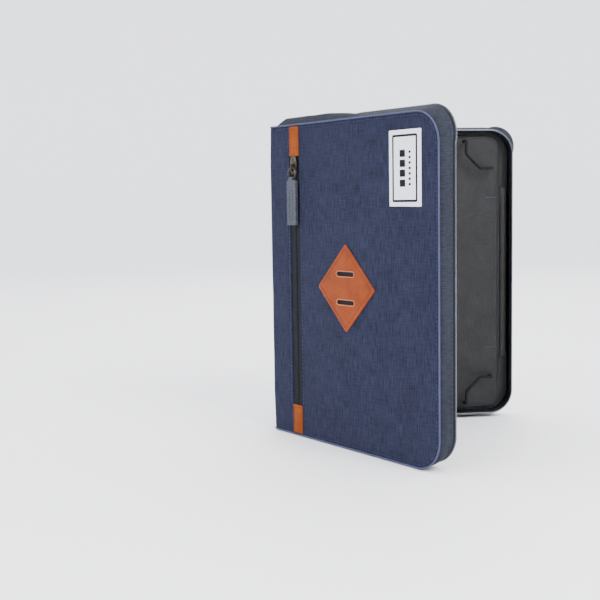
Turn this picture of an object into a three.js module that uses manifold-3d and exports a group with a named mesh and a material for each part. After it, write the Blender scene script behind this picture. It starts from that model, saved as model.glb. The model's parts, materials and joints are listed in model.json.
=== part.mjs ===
// Zip-around tablet case with a swing-out tablet panel, standing upright and ajar.
// Millimetres, +Z up. The origin is the middle of the back cover's bottom edge.
// Each cover is drawn in its own frame: x runs from the spine fold to the zip side, z runs up,
// and a depth is counted inwards from the cover's outer face.

import * as THREE from 'three';
import { mergeVertices } from 'three/addons/utils/BufferGeometryUtils.js';
import Module from 'manifold-3d';

const wasm = await Module();
wasm.setup();

// ---- driving dimensions ----
const COVER_WIDTH = 212;
const COVER_HEIGHT = 270;
const CLOSED_THICKNESS = 34;
const CORNER_RADIUS = 25;
const REST_FOLD = THREE.MathUtils.degToRad(30); // each of the two spine folds, 0 is closed
const GAP = 0.3; // between pieces that touch in the real case

const FOLD_DEPTH = 0.6; // the spine folds lie in the middle of the outer fabric
const SPINE_DEPTH = CLOSED_THICKNESS - 2 * FOLD_DEPTH; // from one spine fold to the other
const SKIN_DEPTH = 1.1;
const BAG_DEPTHS = [1.4, 1.9];
const BOARD_INNER_DEPTH = 3.9;
const LINING_DEPTHS = [4.2, 4.9];
const GUSSET_DEPTHS = [1.4, 12.6];
const TAPE_DEPTHS = [12.9, 15.6];
const COIL_DEPTHS = [15.9, 16.7];

const PIPING = { inset: 0, thickness: 2, depths: [-0.5, 1.9] };
const SKIN_INSET = PIPING.thickness + GAP;
const GUSSET = { inset: 3, thickness: 0.7 };
const GUSSET_LINING = { inset: 4, thickness: 0.6 };
const INNER_INSET = 4.9; // of the boards and linings, inside the gusset
const TAPE = { inset: 3.5, thickness: 0.7 };
const COIL = { inset: 2.7, thickness: 1.8 };
const FACE_START = 1.6; // where skin and piping begin, past the spine fold
const GUSSET_START = 6.5;
const BACK_ZIP_START = 1.5; // under the parked slider
const FRONT_ZIP_START = 18; // clear of the parked slider when the case is shut

const SPINE_SKIN_INSET = 3.4;
const SPINE_BOARD_INSET = 9;
const SPINE_FLANGE = 5.3; // the stiffened part of the spine stays this far from each fold
const FOLD_RADIUS = 1;

const POCKET_ZIP_X = 36.8;
const POCKET_WINDOW = { width: 13.6, low: 16, high: 254 };
const POCKET_TAPE = { near: 2.4, far: 6.5, depths: [0.3, 0.8] };
const POCKET_COIL = { width: 2.4, depths: [-0.2, 1.1] };
const TAB = { width: 14.5, length: 25, depths: [-1.6, -0.3] };
const POCKET_SLIDER_Z = 235;

const PATCH = { x: 105.5, z: 133.3, half: 36.4, depths: [-2.3, -0.9], corner: 2.5 };
const PATCH_BACKING = { half: 24, depths: [-0.6, -0.3] };
const SLOT = { length: 22, height: 3.2, offset: 11.6 };
const LABEL = { x: 176, z: 227.7, width: 35.4, height: 57.5, depths: [-1, -0.3] };

const SLIP_POCKET = { left: 8, right: 170, low: 9, high: 261, depths: [5.2, 5.8], radius: 12 };
const LANDING_STRIP = { left: 178, right: 202, low: 30, high: 240, depths: [5.2, 5.9] };

const PANEL = { left: 10.5, right: 197.8, low: 8, high: 262, radius: 10 };
const PANEL_FACE_Y = -8.9;
const PANEL_BACK_Y = -5.5;
const PANEL_BINDING_WIDTH = 2;
const PANEL_LAYERS = { back: [-6.1, PANEL_BACK_Y], board: [-7.9, -6.4], face: [PANEL_FACE_Y, -8.2] };
const FLAP = { inner: 198.9, outer: 205.9, low: 56, high: 214 };
const FLAP_ANCHOR = { left: 197, right: 206.8, y: [-5.1, -4.6] };
const HOOK_TAB = { left: 12, right: 23, low: 135, high: 163, y: [-5.2, -4.6] };

const TABLET = { left: 18, right: 187.5, low: 15, high: 255, thickness: 7.5 };
const LOOP = { radius: 1.4, reach: 23, leg: 10, sides: 8, steps: 40 };

const SLIDER = { half: 7.5, plate: 0.8, clearance: 0.3, lugWidth: 1.4, lugHeight: 3, hole: 1.05 };
const RING = { radius: 5, wire: 0.7 };
const PIVOT = { y: -2.9, z: -2 }; // of the ring, in the slider's frame
const PULLER = { width: 12.5, length: 36, thickness: 2.6, neck: 3.4, loopRadius: 2.1, hole: 1.25 };
const MAIN_SLIDER = { x: 9.2, y: -15.7 };

// ---- finishes ----
function finish(color, roughness, metalness = 0) {
  return new THREE.MeshStandardMaterial({ color, roughness, metalness });
}

const canvas = finish(0x3c4669, 0.9);
const twill = finish(0x464a58, 0.85);
const piping = finish(0x4a5070, 0.7);
const blackLining = finish(0x26272a, 0.6);
const blackLeather = finish(0x2b2b2d, 0.5);
const board = finish(0x8b8172, 0.95);
const zipTape = finish(0x2a2c33, 0.85);
const zipCoil = finish(0x1b1c20, 0.4);
const tanLeather = finish(0xbe6e4e, 0.55);
const labelWeave = finish(0xebeef5, 0.8);
const greyLoop = finish(0x9a9ca2, 0.95);
const elastic = finish(0x17181a, 0.8);
const antiqueMetal = finish(0x6e695a, 0.35, 0.9);
const pullerFabric = finish(0x737a87, 0.85);

// ---- helpers ----
function toSolid(geometry) {
  const bare = geometry.clone();
  bare.deleteAttribute('normal');
  bare.deleteAttribute('uv');
  const merged = mergeVertices(bare, 1e-4);
  return new wasm.Manifold(new wasm.Mesh({
    numProp: 3,
    vertProperties: new Float32Array(merged.attributes.position.array),
    triVerts: new Uint32Array(merged.index.array),
  }));
}

function toGeometry(solid) {
  const mesh = solid.getMesh();
  const geometry = new THREE.BufferGeometry();
  geometry.setAttribute('position', new THREE.BufferAttribute(mesh.vertProperties, 3));
  geometry.setIndex(new THREE.BufferAttribute(mesh.triVerts, 1));
  geometry.computeVertexNormals();
  return geometry;
}

function joined(geometries) {
  return geometries.map(toSolid).reduce((whole, solid) => whole.add(solid));
}

// A flat outline in x and z, made solid between two values of y.
function slab(shape, [low, high]) {
  const geometry = new THREE.ExtrudeGeometry(shape, {
    depth: high - low,
    bevelEnabled: false,
    curveSegments: 6,
  });
  geometry.rotateX(Math.PI / 2);
  geometry.translate(0, high, 0);
  return geometry;
}

// Depths below a cover's outer face as a range of y; side is 1 for the back cover, -1 for the front.
function depthRange(side, depths) {
  const ys = depths.map((depth) => side * (FOLD_DEPTH - depth));
  return [Math.min(...ys), Math.max(...ys)];
}

function box([x0, x1], [y0, y1], [z0, z1]) {
  const geometry = new THREE.BoxGeometry(x1 - x0, y1 - y0, z1 - z0);
  geometry.translate((x0 + x1) / 2, (y0 + y1) / 2, (z0 + z1) / 2);
  return geometry;
}

function roundedRectangle(left, right, low, high, radius) {
  const shape = new THREE.Shape();
  shape.absarc(right - radius, low + radius, radius, -Math.PI / 2, 0);
  shape.absarc(right - radius, high - radius, radius, 0, Math.PI / 2);
  shape.absarc(left + radius, high - radius, radius, Math.PI / 2, Math.PI);
  shape.absarc(left + radius, low + radius, radius, Math.PI, 1.5 * Math.PI);
  return shape;
}

// A cover's outline, square at the spine and round at the zip side.
function coverOutline(inset, startX) {
  const shape = new THREE.Shape();
  shape.moveTo(startX, inset);
  shape.lineTo(COVER_WIDTH - CORNER_RADIUS, inset);
  shape.absarc(COVER_WIDTH - CORNER_RADIUS, CORNER_RADIUS, CORNER_RADIUS - inset, -Math.PI / 2, 0);
  shape.absarc(COVER_WIDTH - CORNER_RADIUS, COVER_HEIGHT - CORNER_RADIUS, CORNER_RADIUS - inset,
    0, Math.PI / 2);
  shape.lineTo(startX, COVER_HEIGHT - inset);
  return shape;
}

// A band that runs along a cover's bottom, zip side and top.
function rimBand({ inset, thickness }, startX) {
  const shape = coverOutline(inset, startX);
  const inner = inset + thickness;
  const x = COVER_WIDTH - CORNER_RADIUS;
  shape.lineTo(startX, COVER_HEIGHT - inner);
  shape.absarc(x, COVER_HEIGHT - CORNER_RADIUS, CORNER_RADIUS - inner, Math.PI / 2, 0, true);
  shape.absarc(x, CORNER_RADIUS, CORNER_RADIUS - inner, 0, -Math.PI / 2, true);
  shape.lineTo(startX, inner);
  return shape;
}

function add(group, name, geometry, material) {
  const mesh = new THREE.Mesh(geometry, material);
  mesh.name = name;
  group.add(mesh);
  return mesh;
}

// ---- covers ----
function addShell(group, side, name, zipStart) {
  const layer = (part, shape, depths, material) =>
    add(group, `${name}_${part}`, slab(shape, depthRange(side, depths)), material);
  layer('piping', rimBand(PIPING, FACE_START), PIPING.depths, piping);
  layer('lining', coverOutline(INNER_INSET, SPINE_FLANGE), LINING_DEPTHS, blackLining);
  layer('gusset', rimBand(GUSSET, GUSSET_START), GUSSET_DEPTHS, twill);
  layer('gusset_lining', rimBand(GUSSET_LINING, GUSSET_START), GUSSET_DEPTHS, blackLining);
  layer('zip_tape', rimBand(TAPE, zipStart), TAPE_DEPTHS, zipTape);
  layer('zip_coil', rimBand(COIL, zipStart), COIL_DEPTHS, zipCoil);
}

function addBackCover(group) {
  addShell(group, 1, 'back', BACK_ZIP_START);
  add(group, 'back_skin', slab(coverOutline(SKIN_INSET, FACE_START), depthRange(1, [0, SKIN_DEPTH])), canvas);
  add(group, 'back_board',
    slab(coverOutline(INNER_INSET, SPINE_FLANGE), depthRange(1, [SKIN_DEPTH + GAP, BOARD_INNER_DEPTH])), board);
  const anchor = roundedRectangle(FLAP_ANCHOR.left, FLAP_ANCHOR.right, FLAP.low, FLAP.high, 1);
  add(group, 'flap_anchor', slab(anchor, FLAP_ANCHOR.y), blackLeather);
}

function addFrontCover(group) {
  const front = (depths) => depthRange(-1, depths);
  addShell(group, -1, 'front', FRONT_ZIP_START);

  const skin = coverOutline(SKIN_INSET, FACE_START);
  const halfWindow = POCKET_WINDOW.width / 2;
  skin.holes.push(roundedRectangle(POCKET_ZIP_X - halfWindow, POCKET_ZIP_X + halfWindow,
    POCKET_WINDOW.low, POCKET_WINDOW.high, 1));
  add(group, 'front_skin', slab(skin, front([0, SKIN_DEPTH])), canvas);
  add(group, 'pocket_bag', slab(coverOutline(INNER_INSET, SPINE_FLANGE), front(BAG_DEPTHS)), blackLining);
  add(group, 'front_board',
    slab(coverOutline(INNER_INSET, SPINE_FLANGE), front([BAG_DEPTHS[1] + GAP, BOARD_INNER_DEPTH])), board);

  const slip = roundedRectangle(SLIP_POCKET.left, SLIP_POCKET.right, SLIP_POCKET.low, SLIP_POCKET.high,
    SLIP_POCKET.radius);
  add(group, 'slip_pocket', slab(slip, front(SLIP_POCKET.depths)), blackLeather);
  const strip = roundedRectangle(LANDING_STRIP.left, LANDING_STRIP.right, LANDING_STRIP.low,
    LANDING_STRIP.high, 2);
  add(group, 'landing_strip', slab(strip, front(LANDING_STRIP.depths)), greyLoop);
}

function addPocketZip(group) {
  const ends = [POCKET_WINDOW.low + GAP, POCKET_WINDOW.high - GAP];
  const tapeY = depthRange(-1, POCKET_TAPE.depths);
  for (const [name, side] of [['spine_side', -1], ['zip_side', 1]]) {
    const edges = [POCKET_ZIP_X + side * POCKET_TAPE.near, POCKET_ZIP_X + side * POCKET_TAPE.far];
    edges.sort((a, b) => a - b);
    add(group, `pocket_tape_${name}`, box(edges, tapeY, ends), zipTape);
  }
  const coilX = [POCKET_ZIP_X - POCKET_COIL.width / 2, POCKET_ZIP_X + POCKET_COIL.width / 2];
  add(group, 'pocket_coil', box(coilX, depthRange(-1, POCKET_COIL.depths), ends), zipCoil);

  const tabEdges = [POCKET_ZIP_X - TAB.width / 2, POCKET_ZIP_X + TAB.width / 2];
  const tabY = depthRange(-1, TAB.depths);
  const bottomEnd = SKIN_INSET;
  const topEnd = COVER_HEIGHT - SKIN_INSET;
  const bottomTab = roundedRectangle(...tabEdges, bottomEnd, bottomEnd + TAB.length, 0.6);
  const topTab = roundedRectangle(...tabEdges, topEnd - TAB.length, topEnd, 0.6);
  add(group, 'tab_bottom', slab(bottomTab, tabY), tanLeather);
  add(group, 'tab_top', slab(topTab, tabY), tanLeather);
}

function diamond(half, corner) {
  const shape = new THREE.Shape();
  const near = half - corner;
  shape.moveTo(corner, -near);
  for (const [x, z] of [[1, 0], [0, 1], [-1, 0], [0, -1]]) {
    const before = [near * x + corner * z, near * z - corner * x];
    const after = [near * x - corner * z, near * z + corner * x];
    shape.lineTo(...before);
    shape.quadraticCurveTo(half * x, half * z, ...after);
  }
  return shape;
}

function addTrim(group) {
  const patch = diamond(PATCH.half, PATCH.corner);
  for (const z of [-SLOT.offset, SLOT.offset]) {
    patch.holes.push(roundedRectangle(-SLOT.length / 2, SLOT.length / 2, z - SLOT.height / 2,
      z + SLOT.height / 2, SLOT.height / 2 - 0.05));
  }
  const patchGeometry = slab(patch, depthRange(-1, PATCH.depths));
  patchGeometry.translate(PATCH.x, 0, PATCH.z);
  add(group, 'leather_patch', patchGeometry, tanLeather);

  const backing = slab(diamond(PATCH_BACKING.half, PATCH.corner), depthRange(-1, PATCH_BACKING.depths));
  backing.translate(PATCH.x, 0, PATCH.z);
  add(group, 'patch_backing', backing, blackLining);

  const label = roundedRectangle(LABEL.x - LABEL.width / 2, LABEL.x + LABEL.width / 2,
    LABEL.z - LABEL.height / 2, LABEL.z + LABEL.height / 2, 0.8);
  add(group, 'woven_label', slab(label, depthRange(-1, LABEL.depths)), labelWeave);
}

// ---- spine ----
// The spine runs from the back fold at the frame's origin to the front fold, along -y when closed.
function addSpine(group) {
  const ends = [SPINE_SKIN_INSET, COVER_HEIGHT - SPINE_SKIN_INSET];
  const innerEnds = [SPINE_BOARD_INSET, COVER_HEIGHT - SPINE_BOARD_INSET];
  const width = [-SPINE_DEPTH + FACE_START, -FACE_START];
  const innerWidth = [-SPINE_DEPTH + SPINE_FLANGE, -SPINE_FLANGE];
  add(group, 'spine_skin', box([-FOLD_DEPTH, FOLD_DEPTH], width, ends), canvas);
  add(group, 'spine_board', box([FOLD_DEPTH + GAP, 2.4], innerWidth, innerEnds), board);
  add(group, 'spine_lining', box([2.7, 3.4], innerWidth, innerEnds), blackLining);
  for (const [name, y] of [['spine_fold_back', 0], ['spine_fold_front', -SPINE_DEPTH]]) {
    const fold = new THREE.CylinderGeometry(FOLD_RADIUS, FOLD_RADIUS, ends[1] - ends[0], 16);
    fold.rotateX(Math.PI / 2);
    fold.translate(0, y, COVER_HEIGHT / 2);
    add(group, name, fold, canvas);
  }
}

// ---- tablet panel ----
function panelOutline(inset) {
  return roundedRectangle(PANEL.left + inset, PANEL.right - inset, PANEL.low + inset, PANEL.high - inset,
    PANEL.radius - inset);
}

// A stretched elastic cord across one corner of the tablet. sx and sz are the corner's signs.
function cornerLoop(sx, sz) {
  const cornerX = sx > 0 ? TABLET.right : TABLET.left;
  const cornerZ = sz > 0 ? TABLET.high : TABLET.low;
  const out = LOOP.radius + GAP;
  const rootY = PANEL_FACE_Y - GAP;
  const topY = PANEL_FACE_Y - TABLET.thickness - out;
  const bend = 1.2;
  const route = [
    [-LOOP.reach, rootY, out],
    [-LOOP.reach, topY + bend, out],
    [-LOOP.reach, topY, out - bend],
    [-LOOP.reach, topY, -LOOP.leg],
    [-LOOP.leg, topY, -LOOP.reach],
    [out - bend, topY, -LOOP.reach],
    [out, topY + bend, -LOOP.reach],
    [out, rootY, -LOOP.reach],
  ];
  const points = route.map(([x, y, z]) => new THREE.Vector3(cornerX + sx * x, y, cornerZ + sz * z));
  const section = new THREE.Shape();
  for (let i = 0; i < LOOP.sides; i += 1) {
    const angle = (2 * Math.PI * i) / LOOP.sides;
    const corner = [LOOP.radius * Math.cos(angle), LOOP.radius * Math.sin(angle)];
    if (i === 0) section.moveTo(...corner);
    else section.lineTo(...corner);
  }
  return new THREE.ExtrudeGeometry(section, {
    steps: LOOP.steps,
    bevelEnabled: false,
    extrudePath: new THREE.CatmullRomCurve3(points, false, 'catmullrom', 0.12),
  });
}

function addPanel(group) {
  const binding = panelOutline(0);
  binding.holes.push(panelOutline(PANEL_BINDING_WIDTH));
  add(group, 'panel_binding', slab(binding, [PANEL_FACE_Y, PANEL_BACK_Y]), blackLeather);
  const inner = panelOutline(PANEL_BINDING_WIDTH + GAP);
  add(group, 'panel_back', slab(inner, PANEL_LAYERS.back), blackLining);
  add(group, 'panel_board', slab(inner, PANEL_LAYERS.board), board);
  add(group, 'panel_face', slab(inner, PANEL_LAYERS.face), blackLeather);
  add(group, 'hook_tab', box([HOOK_TAB.left, HOOK_TAB.right], HOOK_TAB.y, [HOOK_TAB.low, HOOK_TAB.high]),
    elastic);
  for (const [name, sx, sz] of [['top_right', 1, 1], ['top_left', -1, 1], ['bottom_right', 1, -1],
    ['bottom_left', -1, -1]]) {
    add(group, `loop_${name}`, cornerLoop(sx, sz), elastic);
  }
}

function addHingeFlap(group) {
  const flap = roundedRectangle(FLAP.inner, FLAP.outer, PANEL_FACE_Y, PANEL_BACK_Y, 1.5);
  const geometry = new THREE.ExtrudeGeometry(flap, {
    depth: FLAP.high - FLAP.low,
    bevelEnabled: false,
    curveSegments: 4,
  });
  geometry.translate(0, 0, FLAP.low);
  add(group, 'hinge_flap', geometry, blackLeather);
}

// ---- zip sliders ----
// A slider's frame: z along the zip, x across it, -y outwards from the coil's outer face.
function sliderBody(wraps) {
  const { half, plate, clearance, lugWidth, lugHeight, hole } = SLIDER;
  const outline = new THREE.Shape();
  outline.moveTo(-3.8, -half);
  for (const [x, z] of [[3.8, -half], [4.7, half - 4.5], [3, half], [-3, half], [-4.7, half - 4.5]]) {
    outline.lineTo(x, z);
  }
  const face = -clearance - plate;
  const lug = roundedRectangle(PIVOT.z - 3, PIVOT.z + 3, -face - plate / 2, -face + lugHeight, 1.4);
  const eye = new THREE.Path();
  eye.absarc(PIVOT.z, -PIVOT.y, hole, 0, 2 * Math.PI);
  lug.holes.push(eye);
  const lugGeometry = new THREE.ExtrudeGeometry(lug, { depth: lugWidth, bevelEnabled: false, curveSegments: 6 });
  lugGeometry.translate(0, 0, -lugWidth / 2);
  // outline x becomes z and outline y becomes -y, with the plate's thickness along x
  lugGeometry.applyMatrix4(new THREE.Matrix4().makeBasis(
    new THREE.Vector3(0, 0, 1), new THREE.Vector3(0, -1, 0), new THREE.Vector3(1, 0, 0)));
  const pieces = [slab(outline, [face, -clearance]), lugGeometry];
  for (const [xs, ys] of wraps) {
    pieces.push(box(xs, ys, [-half + 0.4, half - 0.4]));
  }
  return toGeometry(joined(pieces));
}

function ringGeometry() {
  const ring = new THREE.TorusGeometry(RING.radius, RING.wire, 8, 28);
  ring.rotateX(Math.PI / 2);
  ring.translate(0, PIVOT.y, PIVOT.z - RING.radius);
  return ring;
}

function pullerGeometry() {
  const { width, length, thickness, neck, loopRadius, hole } = PULLER;
  const wireZ = PIVOT.z - 2 * RING.radius;
  const top = wireZ - loopRadius - 1;
  const ys = [PIVOT.y - thickness / 2, PIVOT.y + thickness / 2];
  const across = (radius, span) => {
    const bar = new THREE.CylinderGeometry(radius, radius, span, 16);
    bar.rotateZ(Math.PI / 2);
    bar.translate(0, PIVOT.y, wireZ);
    return bar;
  };
  const flat = slab(roundedRectangle(-width / 2, width / 2, top - length, top, 1), ys);
  const neckBar = box([-neck / 2, neck / 2], ys, [top - 1, wireZ]);
  return toGeometry(joined([flat, neckBar, across(loopRadius, neck)]).subtract(toSolid(across(hole, neck + 2))));
}

function addPull(group, name, wraps) {
  add(group, `${name}_slider`, sliderBody(wraps), antiqueMetal);
  add(group, `${name}_ring`, ringGeometry(), antiqueMetal);
  add(group, `${name}_puller`, pullerGeometry(), pullerFabric);
}

// ---- assembly ----
const tabletCase = new THREE.Group();
const back = new THREE.Group();
back.position.x = -COVER_WIDTH / 2;
tabletCase.add(back);
addBackCover(back);
addHingeFlap(back);
addPanel(back);

const spine = new THREE.Group();
spine.rotation.z = -REST_FOLD;
back.add(spine);
addSpine(spine);

const front = new THREE.Group();
front.position.y = -SPINE_DEPTH;
front.rotation.z = -REST_FOLD;
spine.add(front);
addFrontCover(front);
addPocketZip(front);
addTrim(front);

const pocketPull = new THREE.Group();
pocketPull.position.set(POCKET_ZIP_X, -FOLD_DEPTH + POCKET_COIL.depths[0], POCKET_SLIDER_Z);
front.add(pocketPull);
const flangeY = [-SLIDER.clearance - 0.1, 1.1];
addPull(pocketPull, 'pocket', [[[-2.1, -1.5], flangeY], [[1.5, 2.1], flangeY]]);

// The main slider lies on the top run of the zip, its pull towards the zip side.
const mainPull = new THREE.Group();
mainPull.position.set(MAIN_SLIDER.x, MAIN_SLIDER.y, COVER_HEIGHT - COIL.inset);
mainPull.quaternion.setFromRotationMatrix(new THREE.Matrix4().makeBasis(
  new THREE.Vector3(0, 1, 0), new THREE.Vector3(0, 0, -1), new THREE.Vector3(-1, 0, 0)));
back.add(mainPull);
addPull(mainPull, 'main', [[[-1.5, -0.7], [-0.4, 2.9]], [[-4.2, 3.2], [2.1, 2.9]]]);

export default tabletCase;
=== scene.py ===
import json
import math

import bmesh
import bpy
from mathutils import Matrix, Vector, noise


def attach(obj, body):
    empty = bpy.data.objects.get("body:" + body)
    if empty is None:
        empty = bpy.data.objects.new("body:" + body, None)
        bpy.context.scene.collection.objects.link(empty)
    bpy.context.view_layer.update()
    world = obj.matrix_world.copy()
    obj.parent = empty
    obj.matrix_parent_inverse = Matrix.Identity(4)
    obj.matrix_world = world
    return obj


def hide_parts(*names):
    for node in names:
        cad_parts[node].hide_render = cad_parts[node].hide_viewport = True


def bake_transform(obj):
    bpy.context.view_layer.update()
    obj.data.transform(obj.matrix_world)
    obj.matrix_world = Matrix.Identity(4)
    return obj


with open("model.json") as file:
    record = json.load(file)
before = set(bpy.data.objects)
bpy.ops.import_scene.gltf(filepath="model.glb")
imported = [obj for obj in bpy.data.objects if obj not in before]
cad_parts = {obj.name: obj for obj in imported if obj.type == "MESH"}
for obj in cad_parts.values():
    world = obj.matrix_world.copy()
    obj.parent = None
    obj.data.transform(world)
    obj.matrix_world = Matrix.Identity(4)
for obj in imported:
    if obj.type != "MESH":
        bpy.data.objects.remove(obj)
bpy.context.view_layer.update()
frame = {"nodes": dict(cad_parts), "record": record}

MM = 0.001

# ---- the three frames that the case is drawn in, in millimetres ----
# x runs from a spine fold to the zip side, z runs up. Depth counts inwards from a cover's outer face.
joints = {joint["name"]: joint for joint in frame["record"]["behaviour"]["joints"]}
BACK_FOLD = Vector(joints["back_fold"]["pos_m"])
FRONT_FOLD = Vector(joints["front_fold"]["pos_m"])
FOLD = math.atan2(BACK_FOLD.x - FRONT_FOLD.x, BACK_FOLD.y - FRONT_FOLD.y)
BACK = Matrix.Translation(BACK_FOLD) @ Matrix.Scale(MM, 4)
SPINE = Matrix.Translation(BACK_FOLD) @ Matrix.Rotation(-FOLD, 4, "Z") @ Matrix.Scale(MM, 4)
FRONT = Matrix.Translation(FRONT_FOLD) @ Matrix.Rotation(-2 * FOLD, 4, "Z") @ Matrix.Scale(MM, 4)
SPINE_WIDTH = (FRONT_FOLD - BACK_FOLD).length / MM


def local_box(node, space):
    """The box of a CAD node in one of the three frames, in millimetres."""
    inverse = space.inverted()
    points = [inverse @ vertex.co for vertex in frame["nodes"][node].data.vertices]
    low = Vector([min(point[i] for point in points) for i in range(3)])
    high = Vector([max(point[i] for point in points) for i in range(3)])
    return low, high


EDGE = local_box("back_piping", BACK)
WIDTH, HEIGHT = EDGE[1].x, EDGE[1].z
CORNER = 25.0
BULGE_DEPTH = 11.0       # the gusset's swelling ends here
MINUS_Y = Vector((0, -1, 0))
FOLD_DEPTH = 0.6
LINING_DEPTH = FOLD_DEPTH - local_box("back_lining", BACK)[0].y
RIM_DEPTH = FOLD_DEPTH - local_box("back_zip_coil", BACK)[0].y
TAPE_DEPTH = FOLD_DEPTH - local_box("back_zip_tape", BACK)[1].y
COVERS = {
    "back": {"space": BACK, "side": 1, "body": "back_cover", "flare_top": 0.0, "flare_side": 0.0,
             "bulge_spine": 0.0, "bulge_side": 1.5, "bulge_corner": 4.5},
    "front": {"space": FRONT, "side": -1, "body": "front_cover", "flare_top": 8.0, "flare_side": 3.5,
              "bulge_spine": 7.0, "bulge_side": 0.0, "bulge_corner": 0.0},
}


def depth_y(side, depth):
    return side * (FOLD_DEPTH - depth)


# ---- meshes ----
def smoothstep(low, high, value):
    t = min(1.0, max(0.0, (value - low) / (high - low)))
    return t * t * (3 - 2 * t)


def spaced(start, end, count):
    """Evenly spaced positions, both ends included."""
    return [start + (end - start) * i / count for i in range(count + 1)]


def along_corners(corners, step, least=1):
    """Points (x, z) along the straight runs between corners, without the last corner."""
    points = []
    for (x0, z0), (x1, z1) in zip(corners, corners[1:]):
        count = max(least, round(math.hypot(x1 - x0, z1 - z0) / step))
        points += [(x0 + (x1 - x0) * i / count, z0 + (z1 - z0) * i / count) for i in range(count)]
    return points


def middle_of(box):
    low, high = box
    return Vector(((low.x + high.x) / 2, 0, (low.z + high.z) / 2))


def ripple(x, z, size, seed=0.0):
    return noise.noise(Vector((x / size, z / size, seed)))


def new_object(name, points, faces, uvs, space):
    mesh = bpy.data.meshes.new(name)
    mesh.from_pydata([space @ Vector(point) for point in points], [], faces)
    layer = mesh.uv_layers.new(name="weave")
    for loop in mesh.loops:
        layer.data[loop.index].uv = [value * MM for value in uvs[loop.vertex_index]]
    mesh.update()
    piece = bpy.data.objects.new(name, mesh)
    bpy.context.scene.collection.objects.link(piece)
    return piece


def settle(piece, angle=40):
    """Applies a piece's modifiers, so that its mesh is final, and shades it smooth up to an angle."""
    graph = bpy.context.evaluated_depsgraph_get()
    mesh = bpy.data.meshes.new_from_object(piece.evaluated_get(graph))
    piece.modifiers.clear()
    piece.data = mesh
    shell = bmesh.new()
    shell.from_mesh(mesh)
    bmesh.ops.recalc_face_normals(shell, faces=shell.faces)
    shell.to_mesh(mesh)
    shell.free()
    mesh.shade_smooth()
    mesh.set_sharp_from_angle(angle=math.radians(angle))
    return piece


def finish_piece(piece, material, body, replaces=()):
    piece.data.materials.clear()
    piece.data.materials.append(material)
    if body:
        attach(piece, body)
    if replaces:
        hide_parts(*replaces)
    return piece


def thicken(piece, thickness, offset):
    shell = piece.modifiers.new("thickness", "SOLIDIFY")
    shell.thickness = thickness * MM
    shell.offset = offset
    shell.use_even_offset = False
    return settle(piece)


def lattice(name, rows, uvs, space, loop_rows=False, loop_columns=False, keep=None):
    """A sheet of quads through rows of points."""
    count, width = len(rows), len(rows[0])
    points = [point for row in rows for point in row]
    flat_uvs = [uv for row in uvs for uv in row]
    faces = []
    for i in range(count if loop_rows else count - 1):
        for j in range(width if loop_columns else width - 1):
            if keep and not keep(i, j):
                continue
            a, b = i * width + j, i * width + (j + 1) % width
            c, d = ((i + 1) % count) * width + (j + 1) % width, ((i + 1) % count) * width + j
            faces.append((a, b, c, d))
    return new_object(name, points, faces, flat_uvs, space)


def sweep(name, route, space, section, closed=False, normals=None):
    """A tube along a route. section is a list of (across, out) offsets; out follows the normals."""
    count = len(route)
    rows, uvs = [], []
    length = 0.0
    for i, point in enumerate(route):
        ahead = route[(i + 1) % count] if closed or i + 1 < count else point
        behind = route[i - 1] if closed or i > 0 else point
        along = (ahead - behind).normalized()
        out = normals[i] if normals else Vector((0, 0, 1))
        out = (out - along * out.dot(along)).normalized()
        across = along.cross(out)
        if i:
            length += (point - route[i - 1]).length
        rows.append([point + across * a + out * b for a, b in section])
        uvs.append([(length, 2.0 * k) for k in range(len(section))])
    piece = lattice(name, rows, uvs, space, loop_rows=closed, loop_columns=True)
    if not closed:
        cap_ends(piece, len(section))
    return piece


def cap_ends(piece, sides):
    mesh = piece.data
    points = [vertex.co.copy() for vertex in mesh.vertices]
    layer = mesh.uv_layers["weave"]
    uvs = [(0.0, 0.0)] * len(points)
    for loop in mesh.loops:
        uvs[loop.vertex_index] = [value / MM for value in layer.data[loop.index].uv]
    faces = [tuple(polygon.vertices) for polygon in mesh.polygons]
    faces.append(tuple(range(sides)))
    faces.append(tuple(reversed(range(len(points) - sides, len(points)))))
    capped = new_object("cap", points, faces, uvs, Matrix.Identity(4))
    piece.data = capped.data
    bpy.data.objects.remove(capped)


def circle(radius, sides, squash=1.0):
    turns = [2 * math.pi * k / sides for k in range(sides)]
    return [(radius * math.cos(turn), radius * squash * math.sin(turn)) for turn in turns]


def blunt_oval(wide, tall, square_x, square_y=1.0):
    """A 16-sided section, the squarer the smaller its two powers."""
    return [(math.copysign(abs(a) ** square_x, a) * wide, math.copysign(abs(b) ** square_y, b) * tall)
            for a, b in circle(1, 16)]


def capsules(name, places, space, radius, sides=6):
    """Many small rounded rods in one mesh, each from one end to the other with a bow outwards."""
    points, faces, uvs = [], [], []
    shape = [(0.0, 0.35), (0.12, 0.85), (0.5, 1.0), (0.88, 0.85), (1.0, 0.35)]
    for start, end, out, bow in places:
        along = (end - start).normalized()
        out = (out - along * out.dot(along)).normalized()
        across = along.cross(out)
        base = len(points)
        for share, size in shape:
            middle = start.lerp(end, share) + out * bow * 4 * share * (1 - share)
            for a, b in circle(radius * size, sides):
                points.append(middle + across * a + out * b)
                uvs.append((middle.x + middle.y, middle.z + a))
        for i in range(len(shape) - 1):
            for j in range(sides):
                a, b = base + i * sides + j, base + i * sides + (j + 1) % sides
                faces.append((a, b, b + sides, a + sides))
        last = base + (len(shape) - 1) * sides
        faces.append(tuple(base + j for j in reversed(range(sides))))
        faces.append(tuple(last + j for j in range(sides)))
    piece = new_object(name, points, faces, uvs, space)
    return settle(piece, 60)


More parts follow.
